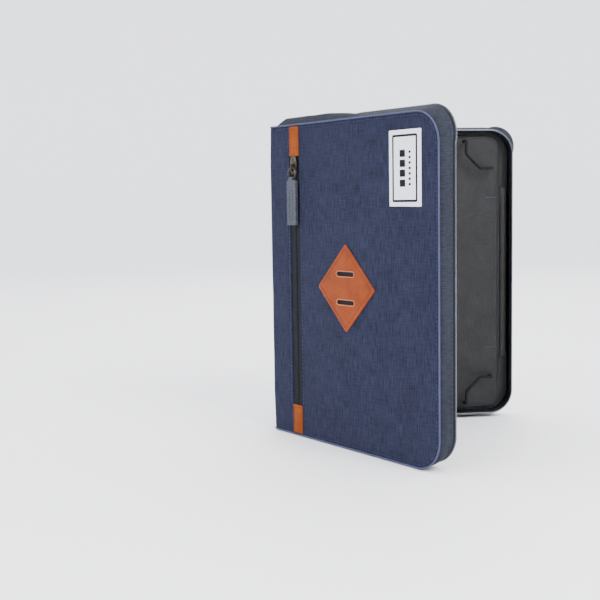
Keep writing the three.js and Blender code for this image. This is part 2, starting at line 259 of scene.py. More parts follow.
def stitch_row(route, out, length=2.3, gap=1.1, bow=0.12):
    """Places for capsules along a polyline, with the same outward direction all along."""
    places = []
    position = 0.0
    start = None
    walked = 0.0
    for begin, end in zip(route, route[1:]):
        span = (end - begin).length
        while position <= walked + span:
            point = begin.lerp(end, (position - walked) / span)
            if start is None:
                start = point
                position += length
            else:
                places.append((start, point, out, bow))
                start = None
                position += gap
        walked += span
    return places


def settle_as_cloth(piece, sewn, cap, pressure=0.0, gravity=1.0, slack=0.0, frames=20):
    """Lets a piece move as cloth, held where sewn(point) is 1, and keeps each point within cap mm."""
    mesh = piece.data
    start = [vertex.co.copy() for vertex in mesh.vertices]
    group = piece.vertex_groups.new(name="sewn")
    for vertex in mesh.vertices:
        group.add([vertex.index], sewn(vertex.co), "REPLACE")
    cloth = piece.modifiers.new("cloth", "CLOTH")
    cloth.settings.vertex_group_mass = "sewn"
    cloth.settings.quality = 6
    cloth.settings.mass = 0.25
    cloth.settings.tension_stiffness = cloth.settings.compression_stiffness = 25
    cloth.settings.bending_stiffness = 0.6
    cloth.settings.shrink_min = -slack
    cloth.settings.effector_weights.gravity = gravity
    if pressure:
        cloth.settings.use_pressure = True
        cloth.settings.uniform_pressure_force = pressure
    cloth.point_cache.frame_start, cloth.point_cache.frame_end = 1, frames
    scene = bpy.context.scene
    for number in range(1, frames + 1):
        scene.frame_set(number)
    graph = bpy.context.evaluated_depsgraph_get()
    moved = [vertex.co.copy() for vertex in piece.evaluated_get(graph).data.vertices]
    piece.modifiers.clear()
    piece.vertex_groups.clear()
    scene.frame_set(1)
    for vertex, before, after in zip(mesh.vertices, start, moved):
        step = after - before
        vertex.co = before + step * min(1.0, cap * MM / max(step.length, 1e-9))
    mesh.update()
    return piece


# ---- outlines ----
def rim(start, step=3.0, arc_steps=12):
    """Points along a cover's bottom, zip side and top with their outward normals: (x, z, nx, nz)."""
    run = WIDTH - CORNER - start
    rise = HEIGHT - 2 * CORNER
    across = [start + run * i / round(run / step) for i in range(round(run / step))]
    up = [CORNER + rise * i / round(rise / step) for i in range(1, round(rise / step))]
    turns = [math.pi / 2 * i / arc_steps for i in range(arc_steps + 1)]
    points = [(x, 0.0, 0.0, -1.0) for x in across]
    for turn in turns:
        points.append((WIDTH - CORNER + CORNER * math.sin(turn), CORNER - CORNER * math.cos(turn),
                       math.sin(turn), -math.cos(turn)))
    points += [(WIDTH, z, 1.0, 0.0) for z in up]
    for turn in turns:
        points.append((WIDTH - CORNER + CORNER * math.cos(turn), HEIGHT - CORNER + CORNER * math.sin(turn),
                       math.cos(turn), math.sin(turn)))
    points += [(x, HEIGHT, 0.0, 1.0) for x in reversed(across)]
    return points


def flare(cover, x, nx, nz):
    """How far the soft gusset leans outwards at its rim."""
    reach = 0.16 * smoothstep(0, 20, x) + 0.84 * smoothstep(58, 108, x)
    top = cover["flare_top"] * max(0.0, nz) * reach
    return top + cover["flare_side"] * max(0.0, nx) * (1 if nz >= 0 else 1 + nz)


def bulge(cover, x, nx, nz, depth):
    """How far the gusset swells between its seams: by the spine, on the zip side, at its top corner."""
    spine = smoothstep(0, 20, x) * (1 - smoothstep(66, 136, x)) * max(0.0, nz)
    corner = 2 * max(0.0, nx) * max(0.0, nz)
    swell = (cover["bulge_spine"] * spine + cover["bulge_side"] * max(0.0, nx) * (1 if nz >= 0 else 1 + nz)
             + cover["bulge_corner"] * corner)
    return swell * math.sin(math.pi * min(1.0, depth / BULGE_DEPTH))


def rim_rows(cover, start, profile, wrinkle=0.0, seed=0.0):
    """Rows of points round a cover's rim. profile is a list of (inset, depth)."""
    rows, uvs = [], []
    length = 0.0
    previous = None
    for x, z, nx, nz in rim(start):
        here = Vector((x, z))
        if previous:
            length += (here - previous).length
        previous = here
        lean = flare(cover, x, nx, nz)
        row, uv = [], []
        travelled = 0.0
        for k, (inset, depth) in enumerate(profile):
            share = smoothstep(0, RIM_DEPTH, depth)
            fold = wrinkle * math.sin(math.pi * min(1.0, depth / TAPE_DEPTH))
            out = -inset + lean * share + fold * ripple(length, depth * 2, 22, seed)
            out += bulge(cover, x, nx, nz, depth)
            if nz < -0.5:           # the bottom run stays above what the case stands on
                out = min(out, -0.25)
            row.append(Vector((x + nx * out, depth_y(cover["side"], depth), z + nz * out)))
            if k:
                travelled += (Vector(profile[k]) - Vector(profile[k - 1])).length
            uv.append((length, travelled))
        rows.append(row)
        uvs.append(uv)
    return rows, uvs


def graded(low, high, step, fine=(0.7, 1.5, 2.3, 3.0, 3.7, 5.0)):
    """Positions from low to high, closer together near both ends."""
    inner = [low, *(low + value for value in fine)]
    outer = [*(high - value for value in reversed(fine)), high]
    count = max(1, round((outer[0] - inner[-1]) / step))
    middle = [inner[-1] + (outer[0] - inner[-1]) * i / count for i in range(1, count)]
    return inner + middle + outer


def rounded(x, z, left, right, low, high, near_radius, far_radius):
    """Moves a point of a rectangle's grid so that the rectangle's corners become round."""
    radius = near_radius if x < (left + right) / 2 else far_radius
    if radius <= 0:
        return x, z, min(x - left, right - x, z - low, high - z)
    cx = left + radius if x < left + radius else right - radius if x > right - radius else x
    cz = low + radius if z < low + radius else high - radius if z > high - radius else z
    u, v = (x - cx) / radius, (z - cz) / radius
    if u and v:
        mapped = (u * math.sqrt(1 - v * v / 2), v * math.sqrt(1 - u * u / 2))
        return (cx + radius * mapped[0], cz + radius * mapped[1],
                radius * (1 - math.hypot(*mapped)))
    return x, z, min(x - left, right - x, z - low, high - z)


def columns(low, high, step, extra=()):
    return sorted({round(value, 3) for value in [*graded(low, high, step), *extra]})


def fitted(xs, zs, area, radii, place):
    """A grid fitted to a rectangle with round corners: rows of points, and of their places on the cloth.

    place(x, z, edge distance) gives a point.
    """
    rows, uvs = [], []
    for z in zs:
        places = [rounded(x, z, *area, *radii) for x in xs]
        rows.append([place(*spot) for spot in places])
        uvs.append([(spot[0], point.z) for spot, point in zip(places, rows[-1])])
    return rows, uvs


def sheet_piece(name, space, area, radii, height, step=5.0):
    """A flat sheet in x and z; height(x, z, edge distance) gives y."""
    rows, uvs = fitted(graded(*area[:2], step), graded(*area[2:], step), area, radii,
                       lambda x, z, d: Vector((x, height(x, z, d), z)))
    return lattice(name, rows, uvs, space)


def area_of(box, grow_x=0.0, grow_z=0.0):
    """A box's (left, right, low, high), grown on each side."""
    low, high = box
    return low.x - grow_x, high.x + grow_x, low.z - grow_z, high.z + grow_z


# ---- finishes ----
def srgb(*levels):
    return [(level / 255 / 12.92 if level < 11 else ((level / 255 + 0.055) / 1.055) ** 2.4)
            for level in levels] + [1.0]


class Finish:
    """A procedural material that is put together node by node."""

    def __init__(self, name, metallic=0.0, on_cad=False, shine=0.5, sheen=0.0):
        self.material = bpy.data.materials.new(name)
        self.material.use_nodes = True
        self.tree = self.material.node_tree
        self.shader = next(node for node in self.tree.nodes if node.type == "BSDF_PRINCIPLED")
        self.shader.inputs["Metallic"].default_value = metallic
        self.shader.inputs["Specular IOR Level"].default_value = shine
        self.shader.inputs["Sheen Weight"].default_value = sheen
        if on_cad:
            self.place = self.add("ShaderNodeTexCoord").outputs["Object"]
        else:
            self.place = self.add("ShaderNodeUVMap", uv_map="weave").outputs["UV"]

    def add(self, kind, inputs=None, **settings):
        node = self.tree.nodes.new(kind)
        for key, value in settings.items():
            setattr(node, key, value)
        for socket, value in (inputs or {}).items():
            if isinstance(value, bpy.types.NodeSocket):
                self.tree.links.new(value, node.inputs[socket])
            else:
                node.inputs[socket].default_value = value
        return node

    def math(self, operation, a, b=0.0):
        return self.add("ShaderNodeMath", {0: a, 1: b}, operation=operation).outputs[0]

    def split(self):
        axes = self.add("ShaderNodeSeparateXYZ", {0: self.place})
        return axes.outputs[0], axes.outputs[1]

    def noise(self, sizes, detail=3.0, roughness=0.55):
        """Noise with features of the given sizes, in millimetres."""
        scale = [1000 / size for size in sizes]
        place = self.add("ShaderNodeVectorMath", {0: self.place, 1: scale}, operation="MULTIPLY").outputs[0]
        texture = self.add("ShaderNodeTexNoise", {"Vector": place, "Scale": 1.0, "Detail": detail,
                                                  "Roughness": roughness})
        return texture.outputs["Fac"]

    def cells(self, size, feature="F1"):
        place = self.add("ShaderNodeVectorMath", {0: self.place, 1: [1000 / size] * 3},
                         operation="MULTIPLY").outputs[0]
        texture = self.add("ShaderNodeTexVoronoi", {"Vector": place, "Scale": 1.0}, feature=feature)
        return texture.outputs["Distance"]

    def spread(self, value, low, high, start=0.0, end=1.0):
        return self.add("ShaderNodeMapRange", {"Value": value, "From Min": low, "From Max": high,
                                               "To Min": start, "To Max": end}).outputs["Result"]

    def wave(self, along, pitch):
        return self.math("SINE", self.math("MULTIPLY", along, 2 * math.pi * 1000 / pitch))

    def colour(self, share, dark, light):
        mix = self.add("ShaderNodeMix", data_type="RGBA")
        self.tree.links.new(share, mix.inputs["Factor"])
        mix.inputs[6].default_value = dark
        mix.inputs[7].default_value = light
        self.tree.links.new(mix.outputs[2], self.shader.inputs["Base Color"])

    def rough(self, share, low, high):
        self.tree.links.new(self.spread(share, 0.0, 1.0, low, high), self.shader.inputs["Roughness"])

    def relief(self, height, depth, strength=1.0):
        """Bump from a height of 0 to 1 that is depth millimetres deep."""
        bump = self.add("ShaderNodeBump", {"Height": height, "Distance": depth * MM, "Strength": strength})
        self.tree.links.new(bump.outputs[0], self.shader.inputs["Normal"])


def woven(name, dark, light, pitch=0.9, streaks=(1.1, 26), rough=(0.72, 0.95), diagonal=False, depth=0.16,
          contrast=1.0, shine=0.2, sheen=0.0):
    """Cloth with threads both ways, some lighter than others; diagonal gives a twill's ribs."""
    finish = Finish(name, shine=shine, sheen=sheen)
    u, v = finish.split()
    warp = finish.noise((streaks[0], streaks[1], 1), 2.0, 0.5)
    weft = finish.noise((streaks[1], streaks[0], 1), 2.0, 0.5)
    both = finish.math("ADD", finish.math("MULTIPLY", warp, 0.7), finish.math("MULTIPLY", weft, 0.3))
    if diagonal:
        ribs = finish.wave(finish.math("ADD", u, finish.math("MULTIPLY", v, 1.25)), pitch)
    else:
        ribs = finish.math("MULTIPLY", finish.wave(u, pitch), finish.wave(v, pitch))
    ribs = finish.spread(ribs, -1.0, 1.0)
    cloud = finish.noise((38, 38, 38), 2.0)
    # painted shade: the ribs lighten the threads' crowns and darken the dips between them, where the bump
    # sinks, on top of the weave's own pattern
    share = finish.math("ADD", finish.spread(both, 0.5 - 0.22 / contrast, 0.5 + 0.22 / contrast, -0.1, 0.75),
                        finish.math("MULTIPLY", ribs, 0.22))
    share = finish.math("ADD", share, finish.spread(cloud, 0.3, 0.7, -0.07, 0.07))
    finish.colour(share, srgb(*dark), srgb(*light))
    finish.rough(warp, *rough)
    height = finish.math("ADD", finish.math("MULTIPLY", ribs, 0.6), finish.math("MULTIPLY", both, 0.8))
    finish.relief(height, depth)
    return finish.material


def leather(name, dark, light, grain=1.3, rough=(0.38, 0.62), depth=0.12, shine=0.35):
    finish = Finish(name, shine=shine)
    creases = finish.spread(finish.cells(grain, "DISTANCE_TO_EDGE"), 0.0, 0.22)
    fine = finish.noise((0.5, 0.5, 0.5), 2.0)
    cloud = finish.noise((17, 17, 17), 3.0)
    # painted shade: the creases between the grain's pebbles come out darker, where the bump sinks; cloud is a
    # random tone
    share = finish.math("ADD", finish.spread(cloud, 0.3, 0.7, 0.05, 0.7),
                        finish.spread(creases, 0, 1, -0.1, 0.25))
    finish.colour(share, srgb(*dark), srgb(*light))
    finish.rough(fine, *rough)
    height = finish.math("ADD", finish.math("MULTIPLY", creases, 0.7), finish.math("MULTIPLY", fine, 0.4))
    finish.relief(height, depth)
    return finish.material


def worn_metal(name, dark, light):
    finish = Finish(name, metallic=0.92, on_cad=True)
    patina = finish.noise((4, 4, 4), 4.0)
    scratches = finish.noise((0.35, 0.35, 6), 2.0)
    finish.colour(finish.spread(patina, 0.35, 0.65), srgb(*dark), srgb(*light))
    finish.rough(scratches, 0.24, 0.5)
    finish.relief(scratches, 0.03)
    return finish.material


def pulp(name):
    finish = Finish(name, on_cad=True)
    fibres = finish.noise((0.6, 0.6, 3.5), 4.0)
    finish.colour(fibres, srgb(96, 84, 68), srgb(158, 146, 124))
    finish.rough(fibres, 0.85, 1.0)
    finish.relief(fibres, 0.1)
    return finish.material


def pile(name, dark, light, size=0.8, depth=0.5):
    finish = Finish(name, shine=0.1, sheen=0.25)
    tufts = finish.cells(size)
    drift = finish.noise((6, 6, 6), 3.0)
    # painted shade: darker where the tufts part, in the hollows the inverted bump sinks; drift is a random
    # tone
    share = finish.math("ADD", finish.spread(tufts, 0.1, 0.8, 0.0, 0.6),
                        finish.spread(drift, 0.3, 0.7, 0, 0.4))
    finish.colour(share, srgb(*light), srgb(*dark))
    finish.rough(drift, 0.88, 1.0)
    finish.relief(tufts, -depth)
    return finish.material


CANVAS = woven("navy_canvas", (13, 15, 27), (42, 45, 69), pitch=0.8, streaks=(1.15, 11), contrast=1.1,
               shine=0.12)
# painted highlight: the piping is lighter than the canvas for the bright line its edge catches from the light
PIPING = woven("piping_cloth", (42, 45, 68), (86, 90, 118), pitch=0.7, streaks=(0.8, 5), shine=0.2)
TWILL = woven("grey_twill", (19, 21, 28), (45, 49, 60), pitch=1.5, streaks=(0.9, 6), diagonal=True,
              depth=0.22, shine=0.15)
SATIN = woven("black_satin", (11, 11, 13), (26, 27, 29), pitch=0.6, streaks=(0.7, 12), rough=(0.42, 0.62),
              depth=0.05, shine=0.3)
TAPE = woven("zip_tape", (9, 11, 16), (23, 26, 34), pitch=1.0, streaks=(0.8, 8), diagonal=True)
BLACK_LEATHER = leather("black_leather", (13, 13, 14), (28, 28, 30), shine=0.25)
TAN = leather("tan_leather", (100, 41, 10), (132, 58, 17), grain=1.6, rough=(0.42, 0.68), shine=0.12)
TAB_TAN = leather("tab_leather", (100, 44, 11), (130, 63, 19), grain=1.4, rough=(0.5, 0.75), shine=0.08)
# lighter tan for the slots' raised rims: partly the leather's lighter edge, partly a painted highlight of the
# rims catching the light
TAN_EDGE = leather("tan_edge", (150, 76, 42), (196, 118, 78), grain=0.9, rough=(0.45, 0.65))
COIL = leather("zip_coil", (14, 16, 24), (58, 63, 82), grain=0.8, rough=(0.2, 0.34), depth=0.04, shine=0.8)
LABEL = woven("label_weave", (200, 204, 214), (232, 235, 240), pitch=0.5, streaks=(0.5, 3), depth=0.08)
INK = woven("label_thread", (8, 9, 12), (26, 28, 34), pitch=0.5, streaks=(0.5, 3), depth=0.1)
NAVY_THREAD = woven("navy_thread", (28, 32, 56), (64, 70, 102), pitch=0.4, streaks=(0.4, 2))
# painted shade: the tan thread is darker than the leather, partly for the shade in its stitch holes
TAN_THREAD = woven("tan_thread", (70, 28, 14), (104, 48, 26), pitch=0.4, streaks=(0.4, 2))
GREY_THREAD = woven("grey_thread", (34, 35, 39), (70, 72, 78), pitch=0.4, streaks=(0.4, 2))
PALE_THREAD = woven("pale_thread", (62, 63, 68), (98, 100, 106), pitch=0.4, streaks=(0.4, 2))
ELASTIC = woven("black_elastic", (7, 8, 10), (24, 25, 29), pitch=0.9, streaks=(0.7, 2.5), diagonal=True,
                depth=0.25)
WEBBING = woven("puller_webbing", (43, 46, 53), (79, 83, 92), pitch=1.3, streaks=(0.9, 4), diagonal=True,
                depth=0.22)
LOOP_PILE = pile("grey_loop", (84, 86, 94), (142, 144, 152))
HOOKS = pile("black_hook", (10, 10, 12), (40, 41, 46), size=1.2, depth=0.6)
METAL = worn_metal("antique_metal", (38, 35, 30), (90, 83, 71))
PULP = pulp("stiff_board")

BODY = {node: body for body, nodes in frame["record"]["behaviour"]["bodies"].items() for node in nodes}


def rider(piece, material, node):
    """A piece that stands for a CAD node and rides on its body."""
    return finish_piece(piece, material, BODY[node], [node])


def sew(name, routes, thread, body, space=None, out=MINUS_Y, length=1.5, gap=1.0, radius=0.22):
    """Rows of stitches along routes, in one piece."""
    places = [place for route in routes for place in stitch_row(route, out, length, gap)]
    return finish_piece(capsules(name, places, space or FRONT, radius, 5), thread, body)


# ---- the two halves of the outside, each wrapped over its own spine fold ----
FILLET = 5.5
HALF_SPINE = SPINE_WIDTH / 2
FOLD_COLUMNS = (-7, -5.5, -4, -2.6, -1.3, 0, 1.3, 2.6, 4, 5.5, 7)


def wrapped(cover, s, depth):
    """A point of the section across a spine fold: s counts from the fold, negative on the spine."""
    side = cover["side"]
    spine = Vector((-math.sin(FOLD), -side * math.cos(FOLD)))
    if s >= FILLET:
        base, tangent = Vector((s, 0)), Vector((1, 0))
    elif s <= -FILLET:
        base, tangent = spine * -s, -spine
    else:
        t = (s + FILLET) / (2 * FILLET)
        base = spine * FILLET * (1 - t) ** 2 + Vector((FILLET, 0)) * t ** 2
        tangent = (Vector((1, 0)) * t - spine * (1 - t)).normalized()
    out = Vector((-tangent.y, tangent.x)) * side
    return base + out * (FOLD_DEPTH - depth)


def bend_over_fold(piece, name):
    cover = COVERS[name]
    start = cover["space"] @ Vector((*wrapped(cover, -7, FOLD_DEPTH), 0))
    end = cover["space"] @ Vector((*wrapped(cover, 7, FOLD_DEPTH), 0))
    start.z = end.z = 0
    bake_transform(piece)


WINDOW = local_box("pocket_coil", FRONT)
ZIP_X = (WINDOW[0].x + WINDOW[1].x) / 2
SKIN_EDGE = 1.35
SEAM = 3.4
WINDOW_HALF = 6.8
HOLE = (ZIP_X - WINDOW_HALF, ZIP_X + WINDOW_HALF, WINDOW[0].z, WINDOW[1].z)
LIP_STEPS = (0, 0.4, 1, 1.8, 2.6, 4)


def face_depth(name, x, z, d):
    """Depth of a cover's canvas: a seam beside the piping, a soft crown over the board."""
    depth = 0.45 * (1 - smoothstep(0, 1.4, d)) - 0.55 * smoothstep(2, 34, d)
    depth += 0.3 * math.exp(-((d - (SEAM - SKIN_EDGE)) / 0.8) ** 2)
    depth += 0.16 * ripple(x, z, 34, COVERS[name]["side"]) * smoothstep(3, 12, d)
    if name == "front" and x > 8:
        across = max(HOLE[0] - x, x - HOLE[1], 0.0)
        beyond = max(HOLE[2] - z, z - HOLE[3], 0.0)
        lip = math.hypot(across, beyond)
        depth += 0.55 * math.exp(-lip / 3.5) - 0.25 * (1 - smoothstep(1.2, 2.2, lip))
        depth += 0.12 * math.exp(-((lip - 2.6) / 0.5) ** 2)
    return depth


def make_face(name):
    """A cover's canvas with half of the spine's; the front one has the zip window cut out."""
    cover = COVERS[name]
    windowed = name == "front"
    left, right, low, high = area = -HALF_SPINE, WIDTH - SKIN_EDGE, SKIN_EDGE, HEIGHT - SKIN_EDGE
    lip_columns = [HOLE[0] - reach for reach in LIP_STEPS] + [HOLE[1] + reach for reach in LIP_STEPS]
    xs = columns(left, right, 4.5, [*FOLD_COLUMNS, *(lip_columns if windowed else ())])
    zs = columns(low, high, 4.5, HOLE[2:] if windowed else ())

    def place(x, z, d):
        if x - left <= d:       # the spine side has no seam, so it isn't an edge
            d = min(z - low, high - z, right - x)
        return Vector((*wrapped(cover, x, face_depth(name, x, z, d)), z))

    def keep(i, j):
        x, z = (xs[j] + xs[j + 1]) / 2, (zs[i] + zs[i + 1]) / 2
        return not (windowed and HOLE[0] < x < HOLE[1] and HOLE[2] < z < HOLE[3])

    rows, uvs = fitted(xs, zs, area, (0, CORNER - SKIN_EDGE), place)
    piece = lattice(f"{name}_canvas", rows, uvs, cover["space"], keep=keep)
    outward = cover["space"].to_3x3() @ Vector((0, cover["side"], 0))
    if piece.data.polygons[len(piece.data.polygons) // 2].normal.dot(outward) < 0:
        piece.data.flip_normals()
    return thicken(piece, 0.7, -1)


def wrapped_rim(inset, step):
    """The rim as (s, z, nx, nz), carried on over the fold to the middle of the spine."""
    points = rim(-HALF_SPINE, step)
    return [(x - nx * inset, z - nz * inset, nx, nz) for x, z, nx, nz in points]


def make_piping(name):
    cover = COVERS[name]
    route, normals = [], []
    for s, z, nx, nz in wrapped_rim(0.78, 2.2):
        route.append(Vector((*wrapped(cover, s, 0.15), z)))
        normals.append(Vector((nx, 0, nz)))
    piece = sweep(f"{name}_piping_cord", route, cover["space"], circle(0.7, 12), normals=normals)
    return settle(piece, 60)


def make_seam(name):
    """The stitches beside the piping."""
    cover = COVERS[name]
    places, outs = [], []
    for s, z, _, _ in wrapped_rim(SEAM, 1.7):
        depth = face_depth(name, s, z, SEAM - SKIN_EDGE) - 0.12
        here = Vector((*wrapped(cover, s, depth), z))
        above = Vector((*wrapped(cover, s, depth - 1), z))
        outs.append((here, above - here))
    for i in range(0, len(outs) - 2, 2):
        start, end = outs[i][0], outs[i + 1][0]
        places.append((start, start.lerp(end, 1.25), outs[i][1], 0.1))
    return capsules(f"{name}_seam_stitches", places, cover["space"], 0.2, 5)


for name, cover in COVERS.items():
    canvas = make_face(name)
    finish_piece(canvas, CANVAS, None,
                 [f"{name}_skin", f"spine_fold_{name}"] + (["spine_skin"] if name == "front" else []))
    bend_over_fold(canvas, name)
    cord = finish_piece(make_piping(name), PIPING, None, [f"{name}_piping"])
    bend_over_fold(cord, name)
    seam = finish_piece(make_seam(name), NAVY_THREAD, None)
    bend_over_fold(seam, name)


# ---- gussets, their lining, the zip's tape and teeth ----
STITCH_DEPTH = 12.3


def make_teeth(name, points, space, wide, tall, pitch):
    """A zip's coil: a cord whose thickness swells at every turn. points are (place, normal)."""
    route, normals = [place for place, _ in points], [normal for _, normal in points]
    count = len(route)
    rows, uvs = [], []
    for i in range(count):
        ahead, behind = route[min(i + 1, count - 1)], route[max(i - 1, 0)]
        along = (ahead - behind).normalized()
        out = (normals[i] - along * normals[i].dot(along)).normalized()
        across = along.cross(out)
        swell = 1.0 if i % 2 else 0.62
        rows.append([route[i] + across * a * wide * swell + out * b * tall * swell for a, b in circle(1, 8)])
        uvs.append([(i * pitch / 2, k) for k in range(8)])
    piece = lattice(name, rows, uvs, space, loop_columns=True)
    cap_ends(piece, 8)
    return settle(piece, 50)


for name, cover in COVERS.items():
    side, space = cover["side"], cover["space"]
    start = local_box(f"{name}_gusset", space)[0].x
    outer = [(3.1, 1.3), (2.4, 2.4), (1.8, 3.8), (1.6, 5.4), (1.7, 7.0), (2.2, 8.8), (2.9, 10.6),
             (3.15, 12.0), (3.2, 12.9), (3.4, 13.4)]
    rows, uvs = rim_rows(cover, start, outer, 0.3, side)
    band = lattice(f"{name}_gusset_cloth", rows, uvs, space)
    rider(thicken(band, 0.6, 0), TWILL, f"{name}_gusset")

    inner = [(4.5, 2.0), (4.4, 4.0), (4.35, 7.0), (4.35, 10.0), (4.3, 12.4)]
    rows, uvs = rim_rows(cover, start, inner, 0.3, side + 5)
    band = lattice(f"{name}_gusset_lining_cloth", rows, uvs, space)
    rider(thicken(band, 0.4, 0), SATIN, f"{name}_gusset_lining")

    zip_start = local_box(f"{name}_zip_tape", space)[0].x
    rows, uvs = rim_rows(cover, zip_start, [(3.95, 11.4), (3.9, 13.0), (3.85, 14.4), (3.8, RIM_DEPTH - 0.6)])
    band = lattice(f"{name}_zip_tape_cloth", rows, uvs, space)
    rider(thicken(band, 0.55, 0), TAPE, f"{name}_zip_tape")

    points = []
    for x, z, nx, nz in rim(zip_start, 0.75, 44):
        out = flare(cover, x, nx, nz) - 3.65
        place = Vector((x + nx * out, depth_y(side, RIM_DEPTH - 0.35), z + nz * out))
        points.append((place, Vector((nx, 0, nz))))
    teeth = make_teeth(f"{name}_zip_teeth", points, space, 0.85, 0.95, 1.5)
    rider(teeth, COIL, f"{name}_zip_coil")

    places = []
    ring = rim(start, 1.7, 22)
    for i in range(0, len(ring) - 1, 2):
        ends = []
        for x, z, nx, nz in ring[i:i + 2]:
            out = flare(cover, x, nx, nz) * smoothstep(0, RIM_DEPTH, STITCH_DEPTH) - 2.82
            ends.append(Vector((x + nx * out, depth_y(side, STITCH_DEPTH), z + nz * out)))
        out = Vector((ring[i][2], 0, ring[i][3]))
        if out.z > -0.5:
            places.append((ends[0], ends[1], out, 0.08))
    rim_stitches = capsules(f"{name}_gusset_stitches", places, space, 0.2, 5)
    finish_piece(rim_stitches, GREY_THREAD, cover["body"])


# ---- linings, one for each half, wrapped over the folds ----
LINING_EDGE = 4.9

for name, cover in COVERS.items():
    side, space = cover["side"], cover["space"]
    area = left, right, low, high = -HALF_SPINE, WIDTH - LINING_EDGE, LINING_EDGE, HEIGHT - LINING_EDGE

    def lining_point(x, z, d):
        narrow = 1 - smoothstep(-6, 6, x)
        z += narrow * 0.8 * (1 - 2 * (z - low) / (high - low))
        depth = LINING_DEPTH - 0.35 - 0.8 * narrow
        depth += 0.3 * ripple(x, z, 16, side * 3) * smoothstep(4, 14, d)
        depth += 0.25 * ripple(x * 0.4, z, 9, side * 7) * smoothstep(4, 14, d)
        return Vector((*wrapped(cover, x, depth), z))

    rows, uvs = fitted(columns(left, right, 5, FOLD_COLUMNS), graded(low, high, 5), area,
                       (0, CORNER - LINING_EDGE), lining_point)
    cloth = thicken(lattice(f"{name}_satin", rows, uvs, space), 0.35, 0)
    finish_piece(cloth, SATIN, None,
                 [f"{name}_lining"] + (["spine_lining"] if name == "front" else []))
    bend_over_fold(cloth, name)


def loop_outline(left, right, low, high, radius, arc_steps=8, step=4.0):
    """Points of a rounded rectangle in x and z."""
    points = []
    for cx, cz, turn in ((right - radius, low + radius, -90), (right - radius, high - radius, 0),
                         (left + radius, high - radius, 90), (left + radius, low + radius, 180)):
        for i in range(arc_steps + 1):
            angle = math.radians(turn + 90 * i / arc_steps)
            points.append((cx + radius * math.cos(angle), cz + radius * math.sin(angle)))
    return along_corners(points + points[:1], step)


# ---- the pocket behind the front cover: bag, zip, tabs ----
def flat_piece(name, area, radii, depth_of, thickness, offset=0.0, step=5.0, space=FRONT):
    """A flat sheet on the front cover; depth_of(x, z, edge distance) is its depth below the outer face."""
    piece = sheet_piece(name, space, area, radii, lambda x, z, d: depth_y(-1, depth_of(x, z, d)), step)
    return thicken(piece, thickness, offset)


bag = flat_piece("pocket_bag_cloth", area_of(local_box("pocket_bag", FRONT)), (0, 20),
                 lambda x, z, d: 1.65 + 0.1 * ripple(x, z, 14), 0.25, step=8)
rider(bag, SATIN, "pocket_bag")

for node in ("pocket_tape_spine_side", "pocket_tape_zip_side"):
    low, high = local_box(node, FRONT)
    left, right = (1.0, 0.8) if low.x > ZIP_X else (0.8, 1.0)
    tape = flat_piece(f"{node}_cloth", (low.x - left, high.x + right, low.z - 0.2, high.z + 0.2), (0, 0),
                      lambda x, z, d: 0.62 - 0.1 * ripple(x, z, 7, 2), 0.3, step=2.5)
    rider(tape, TAPE, node)

coil_low, coil_high = WINDOW
for half, letter in ((-1, "a"), (1, "b")):
    points = [(Vector((ZIP_X + half * 0.62, depth_y(-1, 0.3), z)), MINUS_Y)
              for z in spaced(coil_low.z, coil_high.z, round((coil_high.z - coil_low.z) / 0.7))]
    strand = make_teeth(f"pocket_teeth_{letter}", points, FRONT, 0.78, 0.55, 1.4)
    rider(strand, TAPE, "pocket_coil")

window_routes = [[Vector((x, depth_y(-1, face_depth("front", x, z, 30) - 0.1), z))
                  for z in spaced(HOLE[2] - 1, HOLE[3] + 1, 60)]
                 for x in (HOLE[0] - 1.7, HOLE[1] + 1.7)]
sew("window_stitches", window_routes, NAVY_THREAD, "front_cover", length=2.2, gap=1.2)


def plump(d, rim_width, drop):
    """How far a leather edge drops as it rounds off over rim_width."""
    return drop * (1 - smoothstep(0, rim_width, d)) ** 1.5


def box_corners(left, right, low, high):
    return [(left, low), (right, low), (right, high), (left, high), (left, low)]


def on_front(places, depth_of):
    """Points (x, z) as a route on the front cover, at depth_of(x, z)."""
    return [Vector((x, depth_y(-1, depth_of(x, z)), z)) for x, z in places]


TAB_INSET, TAB_SEAM = 0.7, 1.9


def tab_depth(x, z, d):
    seam = 0.16 * math.exp(-((d - TAB_SEAM) / 0.5) ** 2)
    over_zip = -0.35 * math.exp(-((x - ZIP_X) / 2.2) ** 2)
    return -1.25 + plump(d, 1.3, 0.65) + seam + over_zip * smoothstep(0, 4, d) + 0.07 * ripple(x, z, 5)


for node in ("tab_bottom", "tab_top"):
    box = local_box(node, FRONT)
    tab = flat_piece(f"{node}_leather", area_of(box, -TAB_INSET), (1.2, 1.2), tab_depth, 1.0, -1, step=1.6)
    rider(tab, TAB_TAN, node)
    corners = box_corners(*area_of(box, -TAB_INSET - TAB_SEAM, -TAB_SEAM))
    route = on_front(along_corners(corners, 3, 2) + corners[:1], lambda x, z: tab_depth(x, z, TAB_SEAM) - 0.1)
    sew(f"{node}_stitches", [route], TAN_THREAD, "front_cover", length=1.9, radius=0.24)

# ---- the diamond patch ----
patch_low, patch_high = patch_box = local_box("leather_patch", FRONT)
patch_middle = middle_of(patch_box)
patch_half = (patch_high.x - patch_low.x) / 2
TILTED = FRONT @ Matrix.Translation(patch_middle) @ Matrix.Rotation(math.radians(45), 4, "Y")
PATCH_SIDE = patch_half * math.sqrt(2) / 2 + 0.9
PATCH_SEAM = 3.2
SLOT_AT, SLOT_HALF, SLOT_RADIUS = 11.6, 11.0, 2.0


def slot_distance(across, up):
    """Distance from a point of the patch to the edge of its nearer slot."""
    flat = max(0.0, abs(across) - (SLOT_HALF - SLOT_RADIUS))
    return math.hypot(flat, abs(up) - SLOT_AT) - SLOT_RADIUS


